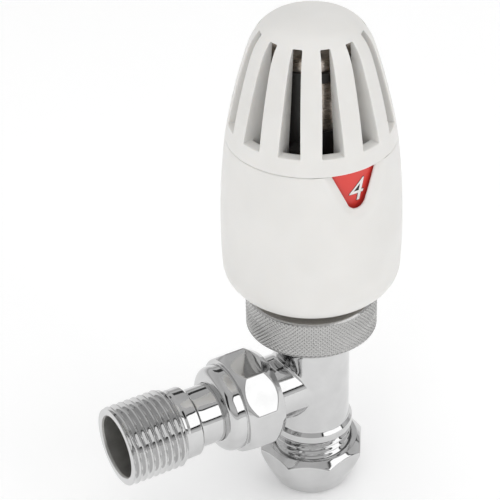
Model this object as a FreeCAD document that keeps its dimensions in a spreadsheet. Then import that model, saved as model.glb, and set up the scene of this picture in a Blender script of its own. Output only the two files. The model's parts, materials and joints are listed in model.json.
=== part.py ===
"""Angle thermostatic radiator valve: chromed body and union, sensor head with a slotted handwheel.

The frame: +Z runs up the valve spindle, the radiator tail runs along -X, the setting window faces -Y,
and the origin is the centre of the mouth of the pipe socket. All lengths are in millimetres.
"""
import FreeCAD, Part
import math
import os
import Sketcher

HEXAGON = 6
OCTAGON = 8
SHEET_NAME = "Dimensions"
SHEET_LABEL = "Driving dimensions"

# Heights are measured up from the pipe mouth, reaches are measured along the tail from the spindle axis.
DRIVING = {
    "tail_height": 33.0,
    "pipe_radius": 7.6,
    "socket_depth": 19.0,
    "run_gap": 0.06,
    "barrel_radius": 10.0,
    "wall_radius": 7.2,
    "thread_radius": 10.4,
    "thread_pitch": 1.814,
    "thread_depth": 1.0,
    "union_thread_radius": 10.1,
    "stub_bottom": 6.2,
    "collar_bottom": 18.0,
    "collar_top": 21.0,
    "seat_height": 26.6,
    "seat_radius": 5.0,
    "cone_bottom": 47.0,
    "neck_thread_radius": 14.95,
    "body_top": 57.5,
    "insert_radius": 8.0,
    "insert_bottom": 43.1,
    "spindle_radius": 2.0,
    "spindle_top": 65.95,
    "valve_lift": 2.3,
    "nut_width": 26.8,
    "nut_height": 13.0,
    "boss_radius": 8.7,
    "passage_radius": 6.2,
    "boss_reach": 15.0,
    "union_width": 25.4,
    "union_start": 14.5,
    "union_flats_end": 25.5,
    "union_end": 30.2,
    "body_reach": 22.3,
    "flange_reach": 24.9,
    "tail_neck_radius": 7.8,
    "tail_collar_start": 36.8,
    "tail_collar_end": 41.0,
    "tail_thread_radius": 10.4775,
    "tail_end": 57.5,
    "tail_mouth_radius": 8.1,
    "key_width": 12.0,
    "ring_radius": 16.9,
    "ring_bottom": 50.5,
    "ring_top": 61.2,
    "base_neck_radius": 12.2,
    "circlip_radius": 14.2,
    "base_disc_radius": 16.3,
    "base_sleeve_radius": 13.6,
    "screw_radius": 12.0,
    "screw_bottom": 78.0,
    "screw_top": 102.0,
    "drum_radius": 19.2,
    "drum_bottom": 94.0,
    "drum_top": 106.1,
    "limit_bottom": 72.0,
    "limit_top": 78.0,
    "limit_lug_radius": 18.3,
    "tooth_radius": 16.0,
    "skirt_bottom": 64.4,
    "skirt_corner_radius": 6.6,
    "skirt_corner_height": 70.5,
    "skirt_widest": 22.4,
    "skirt_bulge_radius": 208.0,
    "skirt_wall": 1.7,
    "seam_height": 106.5,
    "seam_radius": 20.9,
    "window_half_width": 6.7,
    "window_depth": 8.8,
    "window_foot": 2.5,
    "slot_bottom": 111.0,
    "slot_top": 134.6,
    "slot_count": 12,
    "slot_angle": 15.4,
    "first_slot": 13.5,
    "shoulder_radius": 15.0,
    "shoulder_height": 130.5,
    "crown_radius": 9.8,
    "crown_height": 137.0,
    "head_top": 138.3,
    "carrier_bottom": 84.0,
    "carrier_top": 103.5,
    "cage_radius": 10.4,
    "cage_top": 128.0,
    "drive_lug_bottom": 107.2,
    "drive_lug_radius": 14.5,
    "sensor_radius": 9.55,
    "sensor_wall": 0.6,
    "sensor_bottom": 95.55,
    "sensor_top": 131.6,
    "bellows_radius": 7.8,
    "bellows_fold": 1.8,
    "bellows_pitch": 3.0,
    "pin_radius": 2.2,
    "pin_bottom": 76.0,
    "pin_collar": 91.0,
    "pin_top": 124.2,
    "sleeve_radius": 6.4,
    "sleeve_height": 27.0,
}


class Size:
    """A number that remembers the sheet expression it came from."""

    def __init__(self, value, text):
        self.value = value
        self.text = text

    def join(self, other, sign, value):
        return Size(value, "(%s %s %s)" % (self.text, sign, as_size(other).text))

    def __add__(self, other):
        return self.join(other, "+", self.value + as_size(other).value)

    def __sub__(self, other):
        return self.join(other, "-", self.value - as_size(other).value)

    def __mul__(self, other):
        return self.join(other, "*", self.value * as_size(other).value)

    def __truediv__(self, other):
        return self.join(other, "/", self.value / as_size(other).value)


def as_size(number):
    """A plain number as a Size; a Size is returned as it is."""
    if isinstance(number, Size):
        return number
    return Size(float(number), repr(float(number)))


def dim(name):
    """The driving dimension with this name."""
    return Size(DRIVING[name], "%s.%s" % (SHEET_NAME, name))


def make_sheet(doc):
    """Write every driving dimension in a row of its own, with its name as the alias."""
    sheet = doc.addObject("Spreadsheet::Sheet", SHEET_NAME)
    sheet.Label = SHEET_LABEL
    for row, name in enumerate(DRIVING, start=1):
        sheet.set("A%d" % row, name)
        sheet.set("B%d" % row, str(DRIVING[name]))
        sheet.setAlias("B%d" % row, name)
    return sheet


def bind(target, prop, size):
    """Set a property and tie it to the sheet."""
    size = as_size(size)
    target.setExpression(prop, size.text)


def new_body(doc, name):
    body = doc.addObject("PartDesign::Body", name)
    body.Label = name
    return body


def plane(body, role):
    """One of the body's own origin planes."""
    for feature in body.Origin.OriginFeatures:
        if feature.Role == role:
            return feature
    raise ValueError(role)


class Arc:
    """Marks the run to the next point as an arc of this radius, bulging left or right of the run."""

    def __init__(self, radius, side):
        self.radius = as_size(radius)
        self.side = side


def arc_middle(start, end, arc):
    """The middle point of an arc between two points."""
    chord = end - start
    normal = FreeCAD.Vector(-chord.y, chord.x, 0) * (arc.side / chord.Length)
    rise = arc.radius.value - math.sqrt(arc.radius.value ** 2 - (chord.Length / 2) ** 2)
    return (start + end) * 0.5 + normal * rise


def draw_outline(sketch, outline):
    """Draw a closed outline of (radius, height) points, with Arc marks between them, tied to the sheet."""
    sizes = []
    arcs = {}
    for item in outline:
        if isinstance(item, Arc):
            arcs[len(sizes) - 1] = item
        else:
            sizes.append((as_size(item[0]), as_size(item[1])))
    points = [FreeCAD.Vector(across.value, up.value, 0) for across, up in sizes]
    ends = []
    for place, point in enumerate(points):
        following = points[(place + 1) % len(points)]
        if place not in arcs:
            sketch.addGeometry(Part.LineSegment(point, following), False)
            ends.append((1, 2))
            continue
        middle = arc_middle(point, following, arcs[place])
        turns_left = arcs[place].side < 0
        first, last = (point, following) if turns_left else (following, point)
        sketch.addGeometry(Part.Arc(first, middle, last), False)
        ends.append((1, 2) if turns_left else (2, 1))
    for place, (across, up) in enumerate(sizes):
        after = (place + 1) % len(points)
        sketch.addConstraint(Sketcher.Constraint("Coincident", place, ends[place][1], after, ends[after][0]))
        tie_point(sketch, place, ends[place][0], across, up)
    for place, arc in arcs.items():
        index = sketch.addConstraint(Sketcher.Constraint("Radius", place, arc.radius.value))
        sketch.setExpression("Constraints[%d]" % index, arc.radius.text)


def tie_point(sketch, edge, end, across, up):
    """Fix one end of an edge to its distances from the sketch's origin."""
    for kind, size, axis in (("DistanceX", across, -2), ("DistanceY", up, -1)):
        if size.value == 0:
            sketch.addConstraint(Sketcher.Constraint("PointOnObject", edge, end, axis))
            continue
        index = sketch.addConstraint(Sketcher.Constraint(kind, -1, 1, edge, end, size.value))
        sketch.setExpression("Constraints[%d]" % index, size.text)


def new_sketch(body, name, outline, role="XZ_Plane", offset=None):
    """A closed outline on one of the body's upright planes: across is the radius, up is along the axis."""
    sketch = body.newObject("Sketcher::SketchObject", name)
    sketch.AttachmentSupport = [(plane(body, role), "")]
    sketch.MapMode = "FlatFace"
    if offset is not None:
        sketch.AttachmentOffset = offset
    draw_outline(sketch, outline)
    return sketch


def turned(body, kind, name, outline, angle=360.0, role="XZ_Plane", offset=None):
    """A PartDesign Revolution or Groove of the outline about the sketch's upright axis."""
    sketch = new_sketch(body, name + "_outline", outline, role, offset)
    feature = body.newObject("PartDesign::" + kind, name)
    feature.Profile = sketch
    feature.ReferenceAxis = (sketch, ["V_Axis"])
    feature.Angle = angle
    feature.Midplane = angle < 360.0
    sketch.Visibility = False
    body.Tip = feature
    return feature


def revolved(doc, name, outline, angle=360.0):
    """A body of its own, turned from one outline."""
    body = new_body(doc, name)
    turned(body, "Revolution", name + "_turned", outline, angle)
    return body


def about_z(angle):
    """The attachment offset that swings an upright sketch about the upright axis."""
    return FreeCAD.Placement(FreeCAD.Vector(0, 0, 0), FreeCAD.Rotation(FreeCAD.Vector(0, 1, 0), angle))


def repeat_round(body, feature, name, count, angle=360.0):
    """Repeat a turned feature round its own axis."""
    pattern = body.newObject("PartDesign::PolarPattern", name)
    pattern.Originals = [feature]
    pattern.Axis = (feature.Profile[0], ["V_Axis"])
    pattern.Angle = angle
    pattern.Occurrences = count
    body.Tip = pattern
    return pattern


def repeat_along(body, feature, name, count, pitch):
    """Repeat a turned feature along its own axis."""
    pattern = body.newObject("PartDesign::LinearPattern", name)
    pattern.Originals = [feature]
    pattern.Direction = (feature.Profile[0], ["V_Axis"])
    bind(pattern, "Length", pitch * (count - 1))
    pattern.Occurrences = count
    body.Tip = pattern
    return pattern


def cut_thread(body, name, crest_radius, first, count, offset=None):
    """Cut the V grooves of a pipe thread, with narrow crests between them."""
    pitch = dim("thread_pitch")
    root = crest_radius - dim("thread_depth")
    outer = crest_radius + 0.6
    groove = turned(body, "Groove", name, [
        (root, first), (outer, first - pitch * 0.62), (outer, first + pitch * 0.62)], offset=offset)
    return repeat_along(body, groove, name + "_run", count, pitch)


def corner_radius(sides, width):
    """From the axis of a nut to its corners, for a width across flats."""
    return as_size(width) / (2.0 * math.cos(math.pi / sides))


def add_prism(body, kind, name, sides, width, bottom, height, facing=0.0):
    """A regular prism across flats, with one flat facing this many degrees round from X."""
    prism = body.newObject("PartDesign::" + kind, name)
    prism.Polygon = sides
    bind(prism, "Circumradius", corner_radius(sides, width))
    bind(prism, "Height", height)
    bind(prism, "Placement.Base.z", bottom)
    turn = FreeCAD.Rotation(FreeCAD.Vector(0, 0, 1), facing + 180.0 / sides)
    prism.Placement = FreeCAD.Placement(FreeCAD.Vector(0, 0, as_size(bottom).value), turn)
    body.Tip = prism
    return prism


def lay_along_tail(body):
    """Turn an upright piece so that its own axis runs along the tail."""
    body.Placement = FreeCAD.Placement(
        FreeCAD.Vector(0, 0, DRIVING["tail_height"]), FreeCAD.Rotation(FreeCAD.Vector(0, 1, 0), -90.0))
    bind(body, "Placement.Base.z", dim("tail_height"))


def rubber_ring(doc, name, ring_radius, cord_radius, height):
    """An O-ring about the upright axis."""
    ring = doc.addObject("Part::Torus", name)
    ring.Label = name
    bind(ring, "Radius1", ring_radius)
    bind(ring, "Radius2", cord_radius)
    bind(ring, "Placement.Base.z", height)
    return ring


def coil_spring(doc, name, coil_radius, wire_radius, bottom, top, turns):
    """A round-wire helical spring standing on the upright axis."""
    body = new_body(doc, name)
    sketch = body.newObject("Sketcher::SketchObject", name + "_wire")
    sketch.AttachmentSupport = [(plane(body, "XZ_Plane"), "")]
    sketch.MapMode = "FlatFace"
    coil_radius = as_size(coil_radius)
    wire_radius = as_size(wire_radius)
    start = as_size(bottom) + wire_radius
    rise = as_size(top) - as_size(bottom) - wire_radius * 2
    centre = FreeCAD.Vector(coil_radius.value, start.value, 0)
    sketch.addGeometry(Part.Circle(centre, FreeCAD.Vector(0, 0, 1), wire_radius.value), False)
    tie_point(sketch, 0, 3, coil_radius, start)
    index = sketch.addConstraint(Sketcher.Constraint("Radius", 0, wire_radius.value))
    sketch.setExpression("Constraints[%d]" % index, wire_radius.text)
    coil = body.newObject("PartDesign::AdditiveHelix", name + "_coil")
    coil.Profile = sketch
    coil.ReferenceAxis = (sketch, ["V_Axis"])
    coil.Mode = "height-turns-angle"
    bind(coil, "Height", rise)
    coil.Turns = turns
    body.Tip = coil
    return body


def valve_body(doc):
    """Brass body: pipe socket below, seat and chamber in the barrel, union boss to the side."""
    body = new_body(doc, "valve_body")
    thread = dim("thread_radius")
    barrel = dim("barrel_radius")
    bottom = dim("stub_bottom")
    collar = dim("collar_bottom")
    collar_top = dim("collar_top")
    top = dim("body_top")
    neck = dim("neck_thread_radius")
    turned(body, "Revolution", "barrel", [
        (0, bottom), (thread - 0.5, bottom), (thread, bottom + 0.6), (thread, collar - 0.6),
        (thread - 0.9, collar - 0.4), (thread - 0.9, collar), (barrel + 0.9, collar),
        (barrel + 0.9, collar_top - 0.9), (barrel, collar_top), (barrel, dim("cone_bottom")),
        (neck, dim("ring_bottom") + 0.4), (neck, top), (0, top)])
    along = FreeCAD.Placement(
        FreeCAD.Vector(0, DRIVING["tail_height"], 0), FreeCAD.Rotation(FreeCAD.Vector(0, 0, 1), 90.0))
    boss = dim("boss_reach")
    reach = dim("body_reach")
    union = dim("union_thread_radius")
    side = turned(body, "Revolution", "boss", [
        (0, 0), (dim("boss_radius"), 0), (dim("boss_radius"), boss), (union, boss + 0.6),
        (union, reach - 0.6), (union - 0.6, reach), (0, reach)], offset=along)
    bind(side.Profile[0], "AttachmentOffset.Base.y", dim("tail_height"))
    cut_thread(body, "stub_thread", thread, bottom + 2.6, 5)
    seat = dim("seat_height")
    pipe = dim("pipe_radius")
    wall = dim("wall_radius")
    insert = dim("insert_bottom")
    passage = dim("passage_radius")
    opening = dim("seat_radius")
    socket = dim("socket_depth")
    turned(body, "Groove", "vertical_bore", [
        (0, bottom), (pipe + 1.7, bottom), (pipe, bottom + 2.9), (pipe, socket), (passage, socket),
        (passage, socket + 3.5), (opening, seat - 2.6), (opening, seat), (opening + 0.9, seat),
        (opening + 1.1, seat - 1.0), (wall, seat - 1.0), (wall, insert), (dim("insert_radius"), insert),
        (dim("insert_radius"), top), (0, top)])
    tail_way = turned(body, "Groove", "tail_bore", [
        (0, 0), (passage, 0), (passage, reach - 3.1), (passage + 0.8, reach - 3.1),
        (passage + 0.8, reach), (0, reach)], offset=along)
    bind(tail_way.Profile[0], "AttachmentOffset.Base.y", dim("tail_height"))
    return body


def compression_nut(doc):
    """Octagon nut with a chamfered top and a domed underside, holding the pipe."""
    body = new_body(doc, "compression_nut")
    height = dim("nut_height")
    width = dim("nut_width")
    add_prism(body, "AdditivePrism", "nut_octagon", OCTAGON, width, 0, height, facing=11.0)
    corner = corner_radius(OCTAGON, width)
    turned(body, "Groove", "nut_shape", [
        (corner - 5.1, 0), Arc(1.6, -1), (corner - 3.9, 1.0), Arc(40.0, -1), (corner + 0.1, 10.7),
        (corner + 0.1, height - 2.0), (corner - 2.3, height), (corner + 4.0, height), (corner + 4.0, 0)])
    pipe = dim("pipe_radius")
    bore = dim("thread_radius") + dim("run_gap")
    turned(body, "Groove", "nut_bore", [
        (0, 0), (pipe, 0), (pipe, 1.8), (pipe + 2.0, 4.6), (pipe + 2.0, dim("stub_bottom") - 0.4),
        (bore, dim("stub_bottom") - 0.2), (bore, height - 0.7), (bore + 0.5, height), (0, height)])
    return body


def compression_olive(doc):
    """Brass olive that the nut presses on to the pipe."""
    pipe = dim("pipe_radius")
    bottom = dim("stub_bottom")
    return revolved(doc, "compression_olive", [
        (pipe, bottom - 3.5), (pipe + 0.35, bottom - 3.5), (pipe + 1.35, bottom - 1.6),
        (pipe + 1.35, bottom), (pipe + 0.15, bottom + 2.4), (pipe, bottom + 2.4)])


def radiator_tail(doc):
    """Threaded tail that screws into the radiator, held to the body by the union nut."""
    body = new_body(doc, "radiator_tail")
    reach = dim("body_reach")
    spigot = dim("passage_radius") + 0.8 - 0.07
    flange = dim("flange_reach")
    flange_radius = dim("union_thread_radius") - 0.5
    neck = dim("tail_neck_radius")
    collar = dim("tail_collar_start")
    collar_end = dim("tail_collar_end")
    crest = dim("tail_thread_radius")
    end = dim("tail_end")
    mouth = dim("tail_mouth_radius")
    bore = dim("seat_radius") + 0.2
    key_top = end - 7.5
    key_bottom = key_top - 8.0
    collar_radius = neck + 1.5
    turned(body, "Revolution", "tail_turned", [
        (bore, reach - 2.9), (spigot - 0.3, reach - 2.9), (spigot, reach - 2.6), (spigot, reach - 2.1),
        (spigot - 0.8, reach - 2.1), (spigot - 0.8, reach - 0.8), (spigot, reach - 0.8),
        (spigot, reach + 0.2),
        (flange_radius, reach + 0.2), (flange_radius, flange), (neck, flange), (neck, collar),
        (collar_radius - 0.6, collar), (collar_radius, collar + 0.6), (collar_radius, collar_end - 0.6),
        (collar_radius - 0.4, collar_end), (collar_radius - 0.4, collar_end + 0.7),
        (crest - 0.9, collar_end + 0.7), (crest, collar_end + 1.6), (crest, end - 1.1), (crest - 1.1, end),
        (mouth + 0.4, end), (mouth, end - 0.5), (mouth, key_top), (bore + 0.7, key_top),
        (bore + 0.7, key_bottom), (bore, key_bottom)])
    cut_thread(body, "tail_thread", crest, collar_end + 2.3, 8)
    key_depth = key_top - key_bottom + 0.1
    add_prism(body, "SubtractivePrism", "key_socket", HEXAGON, dim("key_width"), key_bottom, key_depth)
    lay_along_tail(body)
    return body


def union_seal(doc):
    """Rubber ring in the groove of the tail's spigot."""
    seal = rubber_ring(doc, "union_seal", 6.56, 0.42, 0)
    reach = dim("body_reach") - 1.45
    place = FreeCAD.Vector(-reach.value, 0, DRIVING["tail_height"])
    seal.Placement = FreeCAD.Placement(place, FreeCAD.Rotation(FreeCAD.Vector(0, 1, 0), -90.0))
    bind(seal, "Placement.Base.x", reach * -1)
    bind(seal, "Placement.Base.z", dim("tail_height"))
    return seal


def union_nut(doc):
    """Captive octagon nut with a rounded nose, pulling the tail on to the body."""
    body = new_body(doc, "union_nut")
    width = dim("union_width")
    start = dim("union_start")
    front = dim("union_flats_end")
    end = dim("union_end")
    corner = corner_radius(OCTAGON, width)
    add_prism(body, "AdditivePrism", "union_octagon", OCTAGON, width, start, front - start, facing=-5.0)
    turned(body, "Groove", "union_shape", [
        (corner - 2.2, start), (corner + 0.1, start + 3.7), (corner + 0.1, front - 2.3),
        (corner - 1.2, front), (corner + 4.0, front), (corner + 4.0, start)])
    nose = corner - 2.3
    turned(body, "Revolution", "union_nose", [
        (nose - 3.7, front - 0.3), (nose, front - 0.3), (nose, front + 2.3), Arc(2.6, -1),
        (nose - 2.4, end), (nose - 3.7, end)])
    bore = dim("union_thread_radius") + dim("run_gap")
    hole = dim("tail_neck_radius") + 0.08
    turned(body, "Groove", "union_bore", [
        (0, start), (bore + 0.5, start), (bore, start + 0.6), (bore, dim("flange_reach") + 0.2),
        (hole, dim("flange_reach") + 0.2), (hole, end), (0, end)])
    lay_along_tail(body)
    return body


def headwork_housing(doc):
    """Brass insert screwed into the body, holding the spindle, its spring and its seals."""
    body = new_body(doc, "headwork_housing")
    top = dim("body_top")
    add_prism(body, "AdditivePrism", "insert_hexagon", HEXAGON, 15.0, top, 3.0)
    outer = dim("insert_radius") - 0.02
    bottom = dim("insert_bottom")
    guide = bottom + 10.9
    seal = guide + 2.0
    gland = seal + 2.2
    spindle = dim("spindle_radius") + 0.06
    turned(body, "Revolution", "insert_barrel", [
        (4.6, bottom), (outer - 0.5, bottom), (outer, bottom + 0.5), (outer, bottom + 2.2),
        (outer - 1.1, bottom + 2.2), (outer - 1.1, bottom + 3.6), (outer, bottom + 3.6), (outer, top + 0.1),
        (4.6, top + 0.1)])
    turned(body, "Groove", "insert_bore", [
        (0, bottom), (5.4, bottom), (5.4, guide), (spindle, guide), (spindle, seal), (3.3, seal),
        (3.3, gland), (3.85, gland), (3.85, top + 3.0), (0, top + 3.0)])
    return body


def spindle_guide(doc):
    """Bush that guides the lower end of the spindle and seats its spring."""
    bottom = dim("insert_bottom")
    inner = dim("spindle_radius") + 0.06
    return revolved(doc, "spindle_guide", [
        (inner, bottom), (5.36, bottom), (5.36, bottom + 1.9), (inner, bottom + 1.9)])


def gland_nut(doc):
    """Small hexagon gland on top of the insert."""
    body = new_body(doc, "gland_nut")
    bottom = dim("body_top") + 0.7
    radius = dim("spindle_radius")
    stub = radius + 1.82
    add_prism(body, "AdditivePrism", "gland_hexagon", HEXAGON, 10.0, bottom + 2.32, 2.5)
    turned(body, "Revolution", "gland_stub", [
        (radius + 0.4, bottom), (stub, bottom), (stub, bottom + 2.5), (radius + 0.4, bottom + 2.5)])
    turned(body, "Groove", "gland_bore", [
        (0, bottom), (radius + 0.06, bottom), (radius + 0.06, bottom + 4.82), (0, bottom + 4.82)])
    return body


def valve_spindle(doc):
    """Steel spindle from the valve disc up to the sensor."""
    radius = dim("spindle_radius")
    seat = dim("seat_height") + dim("valve_lift")
    top = dim("spindle_top")
    return revolved(doc, "valve_spindle", [
        (0, seat - 0.9), (2.6, seat - 0.9), (2.6, seat), (radius - 0.4, seat), (radius - 0.4, seat + 3.5),
        (radius, seat + 3.5), (radius, top - 0.7), (radius - 0.7, top), (0, top)])


def valve_washer(doc):
    """Rubber washer that closes on the seat."""
    seat = dim("seat_height") + dim("valve_lift")
    hole = dim("spindle_radius") - 0.4
    return revolved(doc, "valve_washer", [
        (hole, seat), (5.9, seat), (5.9, seat + 2.0), (hole, seat + 2.0)])


def valve_disc(doc):
    """Brass dish that backs the washer."""
    seat = dim("seat_height") + dim("valve_lift")
    hole = dim("spindle_radius") - 0.4
    return revolved(doc, "valve_disc", [
        (hole, seat + 2.0), (5.9, seat + 2.0), (5.9, seat + 0.5), (6.6, seat + 0.5), (6.6, seat + 3.5),
        (hole, seat + 3.5)])


def spindle_clip(doc):
    """Open spring clip on the spindle that carries the top of the return spring."""
    bottom = dim("insert_bottom") + 9.3
    return revolved(doc, "spindle_clip", [
        (dim("spindle_radius"), bottom), (4.9, bottom), (4.9, bottom + 0.8),
        (dim("spindle_radius"), bottom + 0.8)], angle=320.0)


def return_spring(doc):
    """Spring between the guide bush and the clip, which lifts the spindle off the seat."""
    bottom = dim("insert_bottom") + 1.92
    return coil_spring(doc, "return_spring", 3.9, 0.5, bottom, bottom + 7.36, turns=5)


def knurled_ring(doc):
    """Ring nut that clamps the head on the body, plain here where its knurl runs."""
    radius = dim("ring_radius")
    bottom = dim("ring_bottom")
    top = dim("ring_top")
    thread = dim("neck_thread_radius") + dim("run_gap")
    neck = dim("base_neck_radius") + 0.08
    inside = dim("circlip_radius") + 0.4
    return revolved(doc, "knurled_ring", [
        (thread + 0.4, bottom), (radius - 0.8, bottom), (radius, bottom + 0.8), (radius, top - 0.6),
        (radius - 0.6, top), (neck, top), (neck, top - 1.2), (inside, top - 1.2),
        (inside, dim("body_top") + 0.45), (thread, dim("body_top") + 0.05), (thread, bottom + 0.4)])


def ring_circlip(doc):
    """Wire circlip in the base's neck that the ring nut pulls on."""
    bottom = dim("body_top") + 1.15
    inner = dim("base_neck_radius") - 0.85
    outer = dim("circlip_radius")
    return revolved(doc, "ring_circlip", [
        (inner, bottom), (outer, bottom), (outer, bottom + 1.2), (inner, bottom + 1.2)], angle=335.0)


def head_base(doc):
    """Fixed plastic base of the head: neck, bottom disc, sleeve with the screw thread, drum seat."""
    bottom = dim("body_top") + 0.05
    neck = dim("base_neck_radius")
    disc = dim("base_disc_radius")
    sleeve = dim("base_sleeve_radius")
    screw = dim("screw_radius")
    drum = dim("drum_bottom")
    top = dim("screw_top")
    guide = dim("sleeve_radius") + 0.06
    guide_top = dim("limit_bottom") - 1.0
    opening = dim("insert_radius") + 1.0
    disc_bottom = dim("skirt_bottom") - 0.1
    disc_top = dim("skirt_bottom") + 1.4
    flange = dim("drum_radius")
    thread_end = dim("screw_bottom")
    return revolved(doc, "head_base", [
        (opening, bottom), (neck, bottom), (neck, bottom + 1.05), (neck - 0.9, bottom + 1.05),
        (neck - 0.9, bottom + 2.35), (neck, bottom + 2.35), (neck, bottom + 4.8),
        (disc, disc_bottom), (disc, disc_top), (sleeve + 1.4, disc_top), (sleeve, disc_top + 1.4),
        (sleeve, drum - 5.6), (flange, drum - 5.6), (flange, drum - 4.1), (sleeve, drum - 4.1),
        (sleeve, drum - 2.0), (flange, drum - 2.0), (flange, drum), (flange - 1.3, drum),
        (flange - 1.3, drum + 2.0), (sleeve, drum + 2.0), (sleeve, top), (screw, top), (screw, thread_end),
        (screw - 0.8, thread_end - 1.0), (screw - 0.8, guide_top), (guide, guide_top),
        (guide, guide_top - 3.0), (opening, disc_top + 0.2)])


def setting_drum(doc):
    """Red drum behind the window, carrying the setting numbers."""
    radius = dim("drum_radius")
    return revolved(doc, "setting_drum", [
        (radius - 1.25, dim("drum_bottom")), (radius, dim("drum_bottom")), (radius, dim("drum_top")),
        (radius - 1.25, dim("drum_top"))])


def limit_ring(doc):
    """Ring on the base whose lug stops the handwheel at both ends of its turn."""
    body = new_body(doc, "limit_ring")
    inner = dim("base_sleeve_radius") + 0.03
    bottom = dim("limit_bottom")
    top = dim("limit_top")
    lug = dim("limit_lug_radius")
    turned(body, "Revolution", "limit_band", [
        (inner, bottom), (inner + 1.3, bottom), (inner + 1.3, top), (inner, top)])
    turned(body, "Revolution", "limit_lug", [
        (inner + 0.6, bottom), (lug, bottom), (lug, top), (inner + 0.6, top)], angle=69.0, role="YZ_Plane")
    return body


def skirt_outline():
    """The skirt's wall, with an inward lip that snaps between the base's two flanges."""
    disc = dim("base_disc_radius") + dim("run_gap")
    bottom = dim("skirt_bottom")
    corner = dim("skirt_corner_height")
    widest = dim("skirt_widest")
    wall = dim("skirt_wall")
    lip = dim("drum_bottom") - 3.8
    top = dim("seam_height") - 0.1
    return [
        (disc, bottom), (disc + 0.8, bottom), Arc(dim("skirt_corner_radius"), -1), (widest, corner),
        Arc(dim("skirt_bulge_radius"), -1), (dim("seam_radius"), top), (dim("seam_radius") - 1.35, top),
        (widest - wall - 0.05, lip + 1.5), (17.5, lip + 1.5), (17.5, lip), (widest - wall, lip),
        (widest - wall, corner + 0.5), Arc(dim("skirt_corner_radius") - wall, 1), (disc, bottom + 1.7)]


def handwheel_skirt(doc):
    """Lower half of the turning handwheel, with the U-shaped window and the stop tooth inside."""
    body = new_body(doc, "handwheel_skirt")
    turned(body, "Revolution", "skirt_wall", skirt_outline())
    inner = dim("skirt_widest") - dim("skirt_wall")
    tooth = dim("tooth_radius")
    turned(body, "Revolution", "stop_tooth", [
        (tooth, dim("limit_bottom")), (inner + 0.5, dim("limit_bottom")), (inner + 0.5, dim("limit_top")),
        (tooth, dim("limit_top"))], angle=20.0)
    cut_window(body)
    return body


def cut_window(body):
    """Cut the window through the skirt's front wall, open at the seam."""
    top = dim("seam_height")
    half = dim("window_half_width")
    low = top - dim("window_depth")
    foot = dim("window_foot")
    sketch = new_sketch(body, "window_outline", [
        (half * -1, top), (foot * -1, low), Arc(2.9, -1), (foot, low), (half, top)])
    pocket = body.newObject("PartDesign::Pocket", "window")
    pocket.Profile = sketch
    pocket.Length = 30.0
    pocket.Reversed = True
    body.Tip = pocket


def handwheel_cap(doc):
    """Upper half of the handwheel: a domed cap on twelve ribs with open slots between them."""
    body = new_body(doc, "handwheel_cap")
    seam = dim("seam_height")
    radius = dim("seam_radius")
    low = dim("slot_bottom")
    crown = dim("crown_radius")
    rise = dim("head_top") - dim("crown_height")
    crown_arc = (crown * crown + rise * rise) / (rise * 2)
    inside = crown + 3.5
    sill = radius - 3.6
    turned(body, "Revolution", "cap_wall", [
        (inside, seam), (radius, seam), Arc(156.0, -1), (dim("shoulder_radius"), dim("shoulder_height")),
        Arc(11.0, -1), (crown, dim("crown_height")), Arc(crown_arc, -1), (0, dim("head_top")),
        (0, dim("slot_top") + 0.6), (inside - 1.4, dim("slot_top")), (inside, low)])
    slot = turned(body, "Groove", "slot", [
        (crown, seam - 1.0), (sill, seam - 1.0), (sill, low), (radius + 5.0, low),
        (radius + 5.0, dim("slot_top")), (crown, dim("slot_top"))],
        angle=DRIVING["slot_angle"], offset=about_z(DRIVING["first_slot"]))
    bind(slot, "Angle", dim("slot_angle"))
    repeat_round(body, slot, "slots", DRIVING["slot_count"])
    return body


def sensor_carrier(doc):
    """Plastic sleeve screwed into the base and driven round by four lugs between the cap's ribs."""
    body = new_body(doc, "sensor_carrier")
    screw = dim("screw_radius") - 0.08
    inner = dim("sensor_radius") + 0.05
    bottom = dim("carrier_bottom")
    top = dim("carrier_top")
    cage = dim("cage_radius")
    cage_top = dim("cage_top")
    shelf = dim("sensor_bottom") - 0.05
    turned(body, "Revolution", "carrier_sleeve", [
        (inner, bottom), (screw, bottom), (screw, top), (cage, top + 1.5), (cage, cage_top),
        (inner, cage_top), (inner, shelf), (inner - 1.4, shelf), (inner - 1.4, shelf - 2.0),
        (inner, shelf - 3.4)])
    lug_bottom = dim("drive_lug_bottom")
    lug_radius = dim("drive_lug_radius")
    lug = turned(body, "Revolution", "drive_lug", [
        (cage - 0.4, lug_bottom), (lug_radius, lug_bottom), (lug_radius, lug_bottom + 3.0),
        (cage - 0.4, lug_bottom + 3.0)], angle=12.0, offset=about_z(DRIVING["first_slot"] + 30.0))
    repeat_round(body, lug, "drive_lugs", 4)
    sill = cage_top - 15.5
    window = turned(body, "Groove", "cage_window", [
        (cage - 1.4, sill), (cage + 1.1, sill), (cage + 1.1, cage_top - 2.5), (cage - 1.4, cage_top - 2.5)],
        angle=40.0)
    repeat_round(body, window, "cage_windows", 4)
    return body


def sensor_cup(doc):
    """Metal cup of the liquid-filled sensor, seen through the slots."""
    radius = dim("sensor_radius")
    wall = dim("sensor_wall")
    top = dim("sensor_top")
    bottom = dim("sensor_bottom")
    return revolved(doc, "sensor_cup", [
        (radius - wall, bottom), (radius, bottom), (radius, top - 1.5), Arc(1.5, -1), (radius - 1.5, top),
        (0, top), (0, top - wall), (radius - 1.5, top - wall), (radius - wall, top - 1.5)])


def sensor_plate(doc):
    """Bottom plate of the sensor, crimped into the cup."""
    hole = dim("pin_radius") + 0.4
    rim = dim("sensor_radius") - dim("sensor_wall") - 0.05
    bottom = dim("sensor_bottom") + 0.05
    return revolved(doc, "sensor_plate", [
        (hole, bottom), (rim, bottom), (rim, bottom + 1.7), (hole, bottom + 1.7)])


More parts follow.
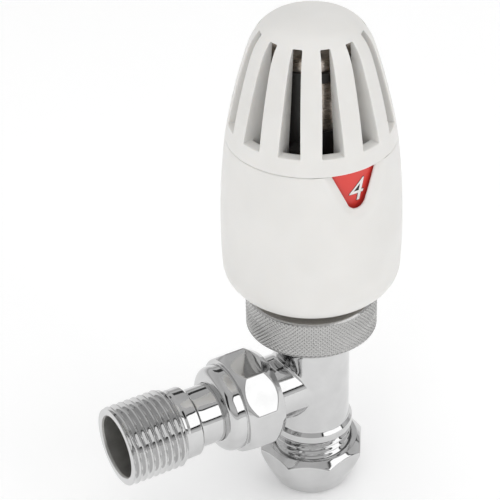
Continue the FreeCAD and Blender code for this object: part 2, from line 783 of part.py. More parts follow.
def sensor_bellows(doc):
    """Corrugated bellows inside the cup, closed at the top."""
    bottom = dim("sensor_bottom") + 1.85
    crest = dim("bellows_radius")
    root = crest - dim("bellows_fold")
    pitch = dim("bellows_pitch")
    folds = 9
    wall = 0.35
    outer = [(root, bottom)]
    for fold in range(folds):
        outer.append((crest, bottom + pitch * (fold + 0.5)))
        outer.append((root, bottom + pitch * (fold + 1.0)))
    top = bottom + pitch * folds
    inner = [(across - wall, up) for across, up in reversed(outer[:-1])]
    outline = outer + [(root, top + 0.6), (0, top + 0.6), (0, top), (root - wall, top)] + inner
    return revolved(doc, "sensor_bellows", outline)


def push_pin(doc):
    """Pin from the bellows to the over-travel spring."""
    radius = dim("pin_radius")
    bottom = dim("pin_bottom")
    collar = dim("pin_collar")
    top = dim("pin_top")
    return revolved(doc, "push_pin", [
        (0, bottom), (radius, bottom), (radius, collar), (radius + 3.1, collar), (radius + 3.1, collar + 1.6),
        (radius, collar + 1.6), (radius, top), (0, top)])


def spring_sleeve(doc):
    """Cup that holds the over-travel spring and presses on the valve spindle."""
    radius = dim("sleeve_radius")
    bottom = dim("spindle_top") + 0.05
    top = bottom + dim("sleeve_height")
    floor = bottom + 1.5
    return revolved(doc, "spring_sleeve", [
        (0, bottom), (radius - 0.6, bottom), (radius, bottom + 0.6), (radius, top), (radius - 0.8, top),
        (radius - 0.8, floor), (0, floor)])


def overtravel_spring(doc):
    """Spring between the sleeve and the pin's collar, which yields when the valve is already shut."""
    bottom = dim("spindle_top") + 1.6
    return coil_spring(doc, "overtravel_spring", 4.3, 0.55, bottom, dim("pin_collar") - 0.02, turns=8)


def build(doc):
    """Make every sub-part, in the order in which they are put together."""
    return [
        valve_body(doc),
        compression_olive(doc),
        compression_nut(doc),
        radiator_tail(doc),
        union_seal(doc),
        union_nut(doc),
        headwork_housing(doc),
        rubber_ring(doc, "headwork_oring", 7.4, 0.52, dim("insert_bottom") + 2.9),
        spindle_guide(doc),
        rubber_ring(doc, "spindle_oring", 2.66, 0.6, dim("insert_bottom") + 14.0),
        gland_nut(doc),
        valve_spindle(doc),
        valve_disc(doc),
        valve_washer(doc),
        spindle_clip(doc),
        return_spring(doc),
        knurled_ring(doc),
        ring_circlip(doc),
        head_base(doc),
        limit_ring(doc),
        setting_drum(doc),
        handwheel_skirt(doc),
        handwheel_cap(doc),
        sensor_carrier(doc),
        sensor_cup(doc),
        sensor_plate(doc),
        sensor_bellows(doc),
        push_pin(doc),
        overtravel_spring(doc),
        spring_sleeve(doc),
    ]


def check(doc, pieces):
    """Stop on a failed feature, or on a sub-part with no valid shape."""
    for item in doc.Objects:
        if "Invalid" in item.State or "Error" in item.State:
            raise RuntimeError("%s failed: %s" % (item.Name, item.State))
    for piece in pieces:
        if piece.Shape.isNull() or not piece.Shape.isValid():
            raise RuntimeError("%s has no valid shape" % piece.Label)


def main():
    doc = FreeCAD.newDocument("radiator_valve")
    make_sheet(doc)
    doc.recompute()
    pieces = build(doc)
    doc.recompute()
    check(doc, pieces)
    os.makedirs("parts", exist_ok=True)
    for piece in pieces:
        piece.Shape.exportStep("parts/%s.step" % piece.Label)
        print("%-20s %9.1f mm3" % (piece.Label, piece.Shape.Volume))


main()
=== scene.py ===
import json
import math

import bmesh
import bpy
import numpy as np
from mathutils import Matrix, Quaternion, Vector


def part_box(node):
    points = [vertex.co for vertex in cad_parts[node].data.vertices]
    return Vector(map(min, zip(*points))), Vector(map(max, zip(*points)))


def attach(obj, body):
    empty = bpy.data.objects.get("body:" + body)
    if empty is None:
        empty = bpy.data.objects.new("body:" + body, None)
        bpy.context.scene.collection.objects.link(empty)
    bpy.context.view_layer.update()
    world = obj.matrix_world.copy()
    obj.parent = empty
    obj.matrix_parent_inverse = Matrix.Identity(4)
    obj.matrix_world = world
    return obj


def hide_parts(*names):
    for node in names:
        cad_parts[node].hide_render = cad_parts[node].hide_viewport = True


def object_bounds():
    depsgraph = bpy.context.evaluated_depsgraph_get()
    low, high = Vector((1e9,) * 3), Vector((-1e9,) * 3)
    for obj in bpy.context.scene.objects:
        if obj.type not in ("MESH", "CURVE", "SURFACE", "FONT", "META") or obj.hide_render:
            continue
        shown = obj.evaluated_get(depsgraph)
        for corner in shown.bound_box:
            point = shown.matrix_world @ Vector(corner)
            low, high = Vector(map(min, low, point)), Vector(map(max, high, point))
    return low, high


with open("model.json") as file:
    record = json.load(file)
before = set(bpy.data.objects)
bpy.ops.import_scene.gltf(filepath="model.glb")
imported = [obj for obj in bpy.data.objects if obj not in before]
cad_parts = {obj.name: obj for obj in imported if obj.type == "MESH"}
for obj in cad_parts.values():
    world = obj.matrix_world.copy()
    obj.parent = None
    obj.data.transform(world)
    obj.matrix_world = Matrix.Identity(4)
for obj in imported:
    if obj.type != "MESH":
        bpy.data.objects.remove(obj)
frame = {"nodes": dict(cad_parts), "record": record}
cad_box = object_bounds()

# The part's sizes are in millimetres and MM turns them into metres; the studio's are in metres.
MM = 0.001
PITCH = 1.814


def reach(node):
    """A CAD node's lowest and highest corners, in millimetres."""
    return [tuple(value / MM for value in corner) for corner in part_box(node)]


TAIL_HEIGHT = (reach("radiator_tail")[0][2] + reach("radiator_tail")[1][2]) / 2


# ---------------------------------------------------------------- outlines

def rounded(corners, steps=5):
    """A closed outline of (across, up) points from (across, up, fillet radius) corners."""
    points = []
    count = len(corners)
    for place, corner in enumerate(corners):
        here = np.array(corner[:2], float)
        fillet = corner[2] if len(corner) > 2 else 0.0
        to_last = np.array(corners[place - 1][:2], float) - here
        to_next = np.array(corners[(place + 1) % count][:2], float) - here
        to_last /= np.linalg.norm(to_last)
        to_next /= np.linalg.norm(to_next)
        half = math.acos(max(-1.0, min(1.0, float(to_last @ to_next)))) / 2
        if fillet <= 0 or half > math.pi / 2 - 0.01:
            points.append(here)
            continue
        bisector = (to_last + to_next) / np.linalg.norm(to_last + to_next)
        centre = here + bisector * fillet / math.sin(half)
        first = here + to_last * fillet / math.tan(half) - centre
        last = here + to_next * fillet / math.tan(half) - centre
        for step in range(steps + 1):
            share = step / steps
            spoke = first * (1 - share) + last * share
            points.append(centre + spoke * fillet / np.linalg.norm(spoke))
    return np.array(points)


def arc(start, end, radius, steps=12, side=1):
    """Points of an arc from start to end, bulging right of the run, or left with side -1."""
    start, end = np.array(start, float), np.array(end, float)
    chord = end - start
    length = np.linalg.norm(chord)
    normal = np.array([chord[1], -chord[0]]) / length * side
    centre = (start + end) / 2 - normal * math.sqrt(radius ** 2 - (length / 2) ** 2)
    first = math.atan2(*(start - centre)[::-1])
    sweep = 2 * math.asin(length / 2 / radius) * side
    turns = first + sweep * np.linspace(0, 1, steps + 1)
    return np.stack([centre[0] + radius * np.cos(turns), centre[1] + radius * np.sin(turns)], -1)


def resampled(points, spacing, closed=True):
    """The same outline with no run longer than the spacing, which may depend on the run's middle."""
    result = []
    count = len(points)
    for place in range(count if closed else count - 1):
        start = points[place]
        end = points[(place + 1) % count]
        limit = spacing((start + end) / 2) if callable(spacing) else spacing
        pieces = max(1, math.ceil(np.linalg.norm(end - start) / limit - 1e-6))
        for step in range(pieces):
            result.append(start + (end - start) * step / pieces)
    if not closed:
        result.append(points[-1])
    return np.array(result)


# ---------------------------------------------------------------- meshes

def new_object(name, data):
    """A new object with this data, linked into the scene."""
    thing = bpy.data.objects.new(name, data)
    bpy.context.scene.collection.objects.link(thing)
    return thing


class Shell:
    """Collects the patches of one mesh; patches that share an edge are joined when it is made."""

    def __init__(self):
        self.points = []
        self.faces = []

    def patch(self, grid, closed=False):
        """Add rows of points, joined by quads; closed joins each row's last point to its first."""
        grid = np.asarray(grid, float)
        rows, columns = grid.shape[:2]
        start = len(self.points)
        self.points.extend(grid.reshape(-1, 3).tolist())
        for row in range(rows - 1):
            for column in range(columns if closed else columns - 1):
                side = (column + 1) % columns
                self.faces.append((start + row * columns + column, start + row * columns + side,
                                   start + (row + 1) * columns + side, start + (row + 1) * columns + column))

    def disc(self, ring):
        """Close a ring of points with one flat face."""
        start = len(self.points)
        self.points.extend(np.asarray(ring, float).tolist())
        self.faces.append(tuple(range(start, len(self.points))))

    def piece(self, name, material, sharp=50.0, smooth_levels=0):
        """The finished object, joined, with outward faces and smooth shading."""
        mesh = bpy.data.meshes.new(name)
        mesh.from_pydata((np.array(self.points) * MM).tolist(), [], self.faces)
        shape = bmesh.new()
        shape.from_mesh(mesh)
        bmesh.ops.remove_doubles(shape, verts=shape.verts, dist=4e-6)
        bmesh.ops.dissolve_degenerate(shape, edges=shape.edges, dist=1e-7)
        bmesh.ops.recalc_face_normals(shape, faces=shape.faces)
        shape.to_mesh(mesh)
        shape.free()
        mesh.shade_smooth()
        if not smooth_levels:
            mesh.set_sharp_from_angle(angle=math.radians(sharp))
        mesh.materials.append(material)
        piece = new_object(name, mesh)
        if smooth_levels:
            rounding = piece.modifiers.new("rounding", "SUBSURF")
            rounding.levels = smooth_levels
            rounding.render_levels = smooth_levels
        return piece


def upright(across, angle, up):
    """Points of a piece that stands on the spindle's axis."""
    return np.stack([across * np.cos(angle), across * np.sin(angle), up + 0 * angle], -1)


def along_tail(across, angle, up):
    """Points of a piece whose own axis runs along the tail."""
    return np.stack([-(up + 0 * angle), across * np.sin(angle), across * np.cos(angle) + TAIL_HEIGHT], -1)


def turned_piece(name, outline, columns, material, place=upright, shape=None, sharp=50.0):
    """Turn a closed outline round an axis; shape(across, angle, up) may change each point's radius."""
    angle = np.linspace(0, 2 * math.pi, columns, endpoint=False)[None, :]
    outline = np.vstack([outline, outline[:1]])
    across = outline[:, :1] + 0 * angle
    up = outline[:, 1:] + 0 * angle
    if shape is not None:
        across = shape(across, angle, up)
    shell = Shell()
    shell.patch(place(across, angle, up), closed=True)
    return shell.piece(name, material, sharp)


def soft_min(first, second, blend):
    """The smaller of two lengths, with the crease between them rounded."""
    mix = np.clip(0.5 + 0.5 * (second - first) / blend, 0, 1)
    return second * (1 - mix) + first * mix - blend * mix * (1 - mix)


def flats_round(count, half_width, first=0.0, blend=0.25):
    """A shape for turned_piece that keeps a nut inside its flats; the first one faces this many degrees."""
    def limit(across, angle, up):
        flats = np.full_like(across, 100.0)
        for side in range(count):
            facing = np.cos(angle - math.radians(first + 360 / count * side))
            flats = soft_min(flats, half_width / np.maximum(facing, 0.2) + 0 * across, blend * 0.6)
        return soft_min(across, flats, blend)
    return limit


def wave(phase, sharpness=0.94):
    """A triangle wave between 0 and 1 with rounded crests and roots, 1 at whole phases."""
    return 0.5 + np.arcsin(sharpness * np.cos(2 * math.pi * phase)) / (2 * math.asin(sharpness))


def screw_thread(start, end, crest, depth):
    """A shape for turned_piece that cuts a right-hand helix between two distances along the axis."""
    def cut(across, angle, up):
        fade = np.clip(np.minimum(up - start, end - up) / 0.3, 0, 1)
        surface = crest - depth * (1 - wave(up / PITCH - angle / (2 * math.pi)))
        threaded = soft_min(across, surface, 0.12)
        inside = (up > start) & (up < end) & (across > crest - 1.6)
        return np.where(inside, across + (threaded - across) * fade, across)
    return cut


def finish_piece(piece, body, slot, *nodes):
    """Hang a piece on its body and hide the CAD nodes that it stands for; the slot is not used."""
    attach(piece, body)
    if nodes:
        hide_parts(*nodes)
    return piece


# ---------------------------------------------------------------- materials

class Nodes:
    """A new material with its Principled shader, and short ways to add nodes to it."""

    def __init__(self, name, colour, roughness, metallic=0.0):
        self.material = bpy.data.materials.new(name)
        self.material.use_nodes = True
        self.tree = self.material.node_tree
        self.shader = self.tree.nodes["Principled BSDF"]
        self.shader.inputs["Base Color"].default_value = (*colour, 1)
        self.shader.inputs["Roughness"].default_value = roughness
        self.shader.inputs["Metallic"].default_value = metallic
        self.place = self.tree.nodes.new("ShaderNodeTexCoord").outputs["Object"]

    def link(self, source, target):
        """Join an output to an input."""
        self.tree.links.new(source, target)

    def feed(self, name, source):
        """Join an output to one of the shader's inputs."""
        self.link(source, self.shader.inputs[name])

    def noise(self, scale, detail=3.0, stretch=None):
        """Noise fixed to the object; stretch scales its three directions."""
        texture = self.tree.nodes.new("ShaderNodeTexNoise")
        texture.inputs["Scale"].default_value = scale
        texture.inputs["Detail"].default_value = detail
        source = self.place
        if stretch is not None:
            mapping = self.tree.nodes.new("ShaderNodeMapping")
            mapping.inputs["Scale"].default_value = stretch
            self.link(source, mapping.inputs["Vector"])
            source = mapping.outputs["Vector"]
        self.link(source, texture.inputs["Vector"])
        return texture.outputs["Fac"]

    def ramp(self, source, low, high, start=0.35, end=0.65):
        """A colour between two others, as the source goes from start to end."""
        ramp = self.tree.nodes.new("ShaderNodeValToRGB")
        ramp.color_ramp.elements[0].position = start
        ramp.color_ramp.elements[0].color = (*low, 1)
        ramp.color_ramp.elements[1].position = end
        ramp.color_ramp.elements[1].color = (*high, 1)
        self.link(source, ramp.inputs["Fac"])
        return ramp.outputs["Color"]

    def spread(self, source, low, high):
        """The source's 0.3 to 0.7 mapped to a range of numbers."""
        mapping = self.tree.nodes.new("ShaderNodeMapRange")
        mapping.inputs["From Min"].default_value = 0.3
        mapping.inputs["From Max"].default_value = 0.7
        mapping.inputs["To Min"].default_value = low
        mapping.inputs["To Max"].default_value = high
        self.link(source, mapping.inputs["Value"])
        return mapping.outputs["Result"]

    def bump(self, source, strength, depth, under=None):
        """A bump of this depth in metres, on top of another one if it is given."""
        bump = self.tree.nodes.new("ShaderNodeBump")
        bump.inputs["Strength"].default_value = strength
        bump.inputs["Distance"].default_value = depth
        self.link(source, bump.inputs["Height"])
        if under is not None:
            self.link(under, bump.inputs["Normal"])
        return bump.outputs["Normal"]


def polished_chrome():
    """Chrome plate over a cast and turned body: nearly a mirror, with a faint ripple and polishing haze."""
    nodes = Nodes("polished_chrome", (0.62, 0.62, 0.62), 0.06, 1.0)
    haze = nodes.noise(900, 4.0)
    nodes.feed("Roughness", nodes.spread(haze, 0.04, 0.09))
    nodes.feed("Base Color", nodes.ramp(nodes.noise(160), (0.59, 0.59, 0.59), (0.64, 0.64, 0.64)))
    ripple = nodes.bump(nodes.noise(190, 1.5), 0.04, 0.0003)
    nodes.feed("Normal", nodes.bump(nodes.noise(5000, 2.0), 0.04, 0.00002, ripple))
    return nodes.material


def satin_chrome():
    """Duller chrome for the knurled ring, with a slightly uneven sheen."""
    nodes = Nodes("satin_chrome", (0.48, 0.48, 0.475), 0.18, 1.0)
    nodes.feed("Roughness", nodes.spread(nodes.noise(1500, 3.0), 0.14, 0.22))
    nodes.feed("Base Color", nodes.ramp(nodes.noise(2600), (0.44, 0.437, 0.43), (0.52, 0.517, 0.51)))
    nodes.feed("Normal", nodes.bump(nodes.noise(6000), 0.06, 0.00003))
    return nodes.material


def moulded(name, low, high, roughness, grain=0.06, subsurface=0.0):
    """Moulded plastic with a fine spark texture and a slightly uneven sheen."""
    nodes = Nodes(name, high, roughness)
    nodes.feed("Base Color", nodes.ramp(nodes.noise(70, 2.0), low, high))
    nodes.feed("Roughness", nodes.spread(nodes.noise(240), roughness - 0.05, roughness + 0.05))
    nodes.feed("Normal", nodes.bump(nodes.noise(4200, 2.0), grain, 0.00003))
    nodes.shader.inputs["Subsurface Weight"].default_value = subsurface
    nodes.shader.inputs["Subsurface Radius"].default_value = (1.0, 0.9, 0.8)
    nodes.shader.inputs["Subsurface Scale"].default_value = 0.0008
    return nodes.material


def bare_metal(name, low, high, roughness):
    """Machined metal with fine turning marks round the spindle's axis."""
    nodes = Nodes(name, high, roughness, 1.0)
    marks = nodes.noise(900, 3.0, (0.05, 0.05, 6.0))
    nodes.feed("Base Color", nodes.ramp(nodes.noise(300), low, high))
    nodes.feed("Roughness", nodes.spread(marks, roughness - 0.08, roughness + 0.08))
    nodes.feed("Normal", nodes.bump(marks, 0.2, 0.00002))
    return nodes.material


def black_rubber():
    """Matt black rubber with a fine grain."""
    nodes = Nodes("black_rubber", (0.02, 0.02, 0.02), 0.6)
    nodes.feed("Base Color", nodes.ramp(nodes.noise(900), (0.014, 0.014, 0.015), (0.03, 0.03, 0.03)))
    nodes.feed("Normal", nodes.bump(nodes.noise(3000), 0.1, 0.00003))
    return nodes.material


materials = {
    "chrome": polished_chrome(),
    "satin_chrome": satin_chrome(),
    # The bore's metal: darker and duller than the chrome, its colour a painted shade inside the tail's bore.
    "dull_bore_painted_shade": bare_metal("dull_bore_painted_shade", (0.36, 0.355, 0.34), (0.46, 0.455, 0.44), 0.5),
    "brass": bare_metal("turned_brass", (0.62, 0.45, 0.17), (0.74, 0.56, 0.25), 0.25),
    "steel": bare_metal("bright_steel", (0.52, 0.52, 0.53), (0.66, 0.66, 0.67), 0.25),
    "sensor_metal": bare_metal("sensor_metal", (0.34, 0.29, 0.24), (0.62, 0.56, 0.50), 0.3),
    "rubber": black_rubber(),
    "white_plastic": moulded("white_plastic", (0.755, 0.745, 0.722), (0.785, 0.775, 0.753), 0.36, 0.05, 0.3),
    # The head's base: a darker, browner copy of the white plastic, painted shade for the gap between the
    # ring and the skirt.
    "base_plastic": moulded("base_plastic", (0.60, 0.57, 0.53), (0.66, 0.63, 0.59), 0.5),
    "black_plastic": moulded("black_plastic", (0.020, 0.019, 0.018), (0.032, 0.030, 0.029), 0.45),
    "red_plastic": moulded("red_plastic", (0.70, 0.045, 0.035), (0.80, 0.07, 0.055), 0.35, 0.04, 0.05),
    "number_ink": moulded("number_ink", (0.84, 0.82, 0.80), (0.90, 0.88, 0.86), 0.5),
}


def paint_cad_nodes():
    """Give every CAD node the material of its slot in the record."""
    for row in frame["record"]["subparts"]:
        mesh = frame["nodes"][row["node"]].data
        mesh.materials.clear()
        mesh.materials.append(materials[row["material_slot"]])


# ---------------------------------------------------------------- valve body

# The side boss and the waterway are cut in patches of the barrel's and the chamber's walls, which
# reach OUTER_REACH and CHAMBER_REACH above and below the tail's axis.
BARREL = 10.0
BOSS = 8.7
STUB = 10.4
NECK = 14.95
CHAMBER = 7.2
PASSAGE = 6.2
UNION_THREAD = 10.1
STUB_THREAD_END = 17.5
OUTER_REACH = 11.5
CHAMBER_REACH = 6.8
BLEND = 1.0
COLUMNS = 180
BRANCH_COLUMNS = 72
BRANCH_ROWS = 24


def opposite(across, turn, up):
    """Points of an upright piece, with the turn measured from the tail's side."""
    return np.stack([-across * np.cos(turn), across * np.sin(turn), up + 0 * turn], -1)


def rectangle_loop():
    """Points round a square from -1 to 1, spaced as the branch's rows and columns are."""
    sideways = np.linspace(-1, 1, BRANCH_COLUMNS + 1)
    upward = np.linspace(-1, 1, BRANCH_ROWS + 1)
    top = [(value, 1.0) for value in sideways[:-1]]
    right = [(1.0, value) for value in upward[:0:-1]]
    bottom = [(value, -1.0) for value in sideways[:0:-1]]
    left = [(-1.0, value) for value in upward[:-1]]
    return np.array(top + right + bottom + left)


def branch(shell, wall, branch_radius, blend, half_height, rings=6):
    """Cut an upright cylinder open for a side branch, and give the branch's mouth as turns and distances.

    A ball of the blend's radius rolls round the corner between the two cylinders.
    """
    loop = rectangle_loop()
    turn = np.arctan2(loop[:, 0], loop[:, 1])
    sideways = (branch_radius + blend) * np.sin(turn)
    height = (branch_radius + blend) * np.cos(turn)
    distance = np.sqrt((wall + blend) ** 2 - sideways ** 2)
    mouth_turn = np.arcsin(sideways / (wall + blend))
    half_turn = math.pi * BRANCH_COLUMNS / COLUMNS
    rows = []
    for ring in range(rings + 1):
        share = ring / rings
        around = mouth_turn * (1 - share) + loop[:, 0] * half_turn * share
        up = height * (1 - share) + loop[:, 1] * half_height * share
        rows.append(opposite(wall, around, TAIL_HEIGHT + up))
    shell.patch(rows, closed=True)
    if blend:
        centre = np.stack([-distance, sideways, TAIL_HEIGHT + height], -1)
        on_wall = opposite(wall, mouth_turn, TAIL_HEIGHT + height) - centre
        on_branch = along_tail(branch_radius, turn, distance) - centre
        corner = []
        for step in range(7):
            spoke = on_wall * (1 - step / 6) + on_branch * step / 6
            corner.append(centre + spoke * blend / np.linalg.norm(spoke, axis=1, keepdims=True))
        shell.patch(corner, closed=True)
    return turn, distance


def wall_beside_branch(shell, wall, half_height):
    """The rest of the upright cylinder, beside the branch's patch."""
    cells = COLUMNS - BRANCH_COLUMNS
    half_turn = math.pi * BRANCH_COLUMNS / COLUMNS
    turn = np.linspace(half_turn, 2 * math.pi - half_turn, cells + 1)
    up = TAIL_HEIGHT + np.linspace(-half_height, half_height, BRANCH_ROWS + 1)
    shell.patch([opposite(wall, turn, height) for height in up])


def turned_rows(shell, outline, shape=None):
    """Turn an open outline round the spindle's axis, with the branch's columns."""
    turn = np.linspace(0, 2 * math.pi, COLUMNS, endpoint=False)[None, :]
    across = outline[:, :1] + 0 * turn
    up = outline[:, 1:] + 0 * turn
    if shape is not None:
        across = shape(across, turn, up)
    shell.patch(opposite(across, turn, up), closed=True)


def upper_body_outline(top):
    """From the barrel above the boss, over the neck's rim and down inside to the chamber."""
    return rounded([
        (BARREL, TAIL_HEIGHT + OUTER_REACH), (BARREL, 46.6, 3.0), (NECK, 50.9, 0.6), (NECK, top, 0.3),
        (8.0, top), (8.0, 43.1), (CHAMBER, 43.1), (CHAMBER, TAIL_HEIGHT + CHAMBER_REACH)])


def lower_body_outline(bottom):
    """From the chamber down past the seat and the pipe socket, and up over the stub and its collar."""
    return rounded([
        (CHAMBER, TAIL_HEIGHT - CHAMBER_REACH), (CHAMBER, 25.6), (6.1, 25.6), (5.9, 26.6), (5.0, 26.6),
        (5.0, 24.0), (PASSAGE, 22.5), (PASSAGE, 19.0), (7.6, 19.0), (7.6, bottom + 2.9), (9.3, bottom),
        (STUB - 0.5, bottom), (STUB, bottom + 0.6), (STUB, 17.4, 0.2), (9.5, 17.7, 0.2), (9.5, 18.0, 0.15),
        (10.9, 18.0, 0.3), (10.9, 20.1, 0.35), (BARREL, 21.05, 0.5), (BARREL, TAIL_HEIGHT - OUTER_REACH)])


def stub_spacing(point):
    """Close rows on the stub's thread, and wide ones elsewhere."""
    on_thread = point[0] > STUB - 1.0 and point[1] < 17.8
    return 0.11 if on_thread else 1.2


def left_to_right(shape):
    """The same shape where the turn is measured the other way round, so that a screw keeps its hand."""
    return lambda across, turn, up: shape(across, math.pi - turn, up)


def side_boss(shell, boss_end):
    """The boss with its blended foot, the union's thread and the waterway into the chamber."""
    turn, start = branch(shell, BARREL, BOSS, BLEND, OUTER_REACH)
    inner_turn, inner_start = branch(shell, CHAMBER, PASSAGE, 0.0, CHAMBER_REACH)
    spigot_seat = PASSAGE + 0.8
    path = [(BOSS, 15.02), (UNION_THREAD, 15.6), (UNION_THREAD, boss_end - 0.6),
            (UNION_THREAD - 0.6, boss_end), (spigot_seat, boss_end), (spigot_seat, boss_end - 3.1),
            (PASSAGE, boss_end - 3.1)]
    rows = [along_tail(BOSS, turn, start)]
    rows += [along_tail(across, turn, along + 0 * turn) for across, along in path]
    rows.append(along_tail(PASSAGE, inner_turn, inner_start))
    shell.patch(rows, closed=True)


def body_casting():
    """The chromed body: barrel, collar, stub thread, neck and the side boss with its cast corner."""
    shell = Shell()
    low, high = reach("valve_body")
    bottom, top = low[2], high[2]
    turned_rows(shell, resampled(upper_body_outline(top), 1.2, closed=False))
    thread = left_to_right(screw_thread(bottom + 0.2, STUB_THREAD_END, STUB, 1.0))
    turned_rows(shell, resampled(lower_body_outline(bottom), stub_spacing, closed=False), thread)
    wall_beside_branch(shell, BARREL, OUTER_REACH)
    wall_beside_branch(shell, CHAMBER, CHAMBER_REACH)
    side_boss(shell, -low[0])
    piece = shell.piece("body_casting", materials["chrome"], 40.0)
    return finish_piece(piece, "valve_body", "chrome", "valve_body")


# ---------------------------------------------------------------- nuts and tail

FLATS_SPACING = 0.35
NUT_SHARP = 60.0


def pipe_nut():
    """Compression nut: chamfered above, domed below, drilled for the pipe and the olive."""
    height = reach("compression_nut")[1][2]
    crest = 14.55
    outline = np.vstack([
        [(7.6, 0.0)], arc((9.4, 0.0), (10.6, 1.0), 1.6, 6), arc((10.6, 1.0), (crest, 10.65), 40.0, 24)[1:],
        rounded([(crest, 10.8), (crest, height - 1.95, 0.3), (crest - 2.3, height, 0.3), (11.0, height, 0.2),
                 (10.46, height - 0.6), (10.46, 6.0), (9.6, 5.8), (9.6, 4.6), (7.6, 1.8), (7.7, 1.6)])])
    outline = resampled(outline, lambda point: FLATS_SPACING if point[0] > 10.8 else 1.5)
    octagon = flats_round(8, 13.4, first=11.0)
    piece = turned_piece("pipe_nut", outline, 360, materials["chrome"], upright, octagon, NUT_SHARP)
    return finish_piece(piece, "compression_nut", "chrome", "compression_nut")


def union_piece():
    """Union nut: eight flats, chamfered at both ends, with a round nose towards the radiator."""
    low, high = reach("union_nut")
    start, end = -high[0], -low[0]
    crest, nose, hole = 13.8, 11.44, 7.88
    flats_end = start + 11.0
    outline = np.vstack([
        rounded([(10.66, start + 0.1), (11.55, start, 0.2), (crest, start + 3.7, 0.4),
                 (crest, flats_end - 2.3, 0.4), (12.5, flats_end, 0.25), (nose, flats_end + 0.1, 0.12),
                 (nose, flats_end + 1.0)])[:-1],
        arc((nose, flats_end + 2.3), (nose - 2.4, end - 0.05), 2.6, 14),
        rounded([(nose - 2.6, end), (hole, end, 0.1), (hole, flats_end - 0.4), (10.16, flats_end - 0.4),
                 (10.16, start + 0.6)])])
    outline = resampled(outline, lambda point: FLATS_SPACING if point[0] > 8.5 else 1.5)
    octagon = flats_round(8, 12.7, first=-5.0)
    piece = turned_piece("union_piece", outline, 360, materials["chrome"], along_tail, octagon, NUT_SHARP)
    return finish_piece(piece, "union_nut", "chrome", "union_nut")


def tail_piece():
    """Radiator tail: flange, neck, collar, a cut pipe thread and a hexagon key socket inside."""
    low, high = reach("radiator_tail")
    end, start = -low[0], -high[0]
    crest, neck, collar, mouth, bore = 10.4775, 7.8, 9.3, 8.1, 5.2
    outline = rounded([
        (bore, start), (6.6, start, 0.2), (6.9, start + 0.5), (6.9, start + 0.8), (6.1, start + 0.8),
        (6.1, start + 2.1), (6.9, start + 2.1), (6.9, start + 3.1), (9.6, start + 3.1), (9.6, start + 5.5),
        (neck, start + 5.5, 0.4), (neck, 36.8, 0.5), (collar - 0.5, 36.9, 0.15), (collar, 37.5, 0.3),
        (collar, 40.5, 0.3), (8.9, 41.0, 0.2), (8.9, 41.7, 0.2), (crest - 0.95, 41.8, 0.15),
        (crest, 42.75, 0.2), (crest, end - 0.55, 0.15), (crest - 0.35, end, 0.2), (mouth + 0.35, end, 0.3),
        (mouth, end - 0.6, 0.2), (mouth, end - 7.5, 0.4), (7.0, end - 7.5), (7.0, end - 15.5),
        (bore, end - 15.5)])
    outline = resampled(outline, lambda point: 0.12 if point[0] > 9.3 and point[1] > 41.7 else 1.0)
    cut = screw_thread(42.2, end - 0.15, crest, 1.15)
    keyway = flats_round(6, 6.0, blend=0.1)

    def shape(across, angle, up):
        across = cut(across, angle, up)
        in_key = (up > end - 15.51) & (up < end - 7.49) & (across < 7.1) & (across > 5.3)
        return np.where(in_key, keyway(across, angle, up), across)
    piece = turned_piece("tail_piece", outline, 240, materials["chrome"], along_tail, shape, 45.0)
    # The faces inside the bore get a darker metal that paints the shade there.
    shade_inside_bore(piece, mouth + 0.15, 41.0)
    return finish_piece(piece, "radiator_tail", "chrome", "radiator_tail")


def shade_inside_bore(piece, radius, start):
    """Paint the shade inside the tail's bore as a darker, duller metal: the faces near its axis, from this
    distance along it outwards.
    """
    piece.data.materials.append(materials["dull_bore_painted_shade"])
    for face in piece.data.polygons:
        away = math.hypot(face.center.y, face.center.z - TAIL_HEIGHT * MM)
        inside = away < radius * MM and face.center.x < -start * MM
        face.material_index = 1 if inside else 0


# ---------------------------------------------------------------- knurled ring

def ring_piece():
    """Ring nut with a diamond knurl of real four-sided points."""
    low, high = reach("knurled_ring")
    bottom, top = low[2], high[2]
    radius = high[0]
    pitch = 1.15
    count = round(2 * math.pi * radius / pitch)
    depth = 0.36
    band_low, band_high = bottom + 0.85, top - 0.55
    outline = rounded([
        (15.4, bottom), (radius - 0.85, bottom, 0.15), (radius, bottom + 0.8, 0.2),
        (radius, top - 0.6, 0.25), (radius - 0.65, top, 0.2), (12.45, top, 0.15), (12.28, top - 0.2),
        (12.28, top - 1.2), (14.6, top - 1.2), (14.6, 57.95), (15.01, 57.55), (15.01, bottom + 0.4)])
    outline = resampled(outline, lambda point: pitch / 6 if point[0] > radius - 0.5 else 1.0)

    def knurl(across, angle, up):
        turn = count * angle / (2 * math.pi)
        rise = (up - band_low) / pitch
        points = np.minimum(wave(turn + rise, 0.99), wave(turn - rise, 0.99))
        raised = np.clip(points / 0.8, 0, 1)
        band = np.clip(np.minimum(up - band_low, band_high - up) / 0.2 + 0.5, 0, 1)
        return np.where(across > radius - 0.7, across - depth * (1 - raised) * band, across)
    piece = turned_piece("ring_piece", outline, count * 6, materials["satin_chrome"], upright, knurl, 75.0)
    return finish_piece(piece, "knurled_ring", "satin_chrome", "knurled_ring")


# ---------------------------------------------------------------- handwheel

SEAM = 106.5
SEAM_RADIUS = 20.9
SHOULDER = (15.0, 130.5)
CROWN = (9.8, 137.0)
WINDOW_TURN = math.radians(-90.0)
RIB_TURN = math.radians(-91.5)
NUMBER_TURN = math.radians(-89.3)


def radius_at(outline, height):
    """The outline's radius at a height; the outline rises all the way."""
    return np.interp(height, outline[:, 1], outline[:, 0])


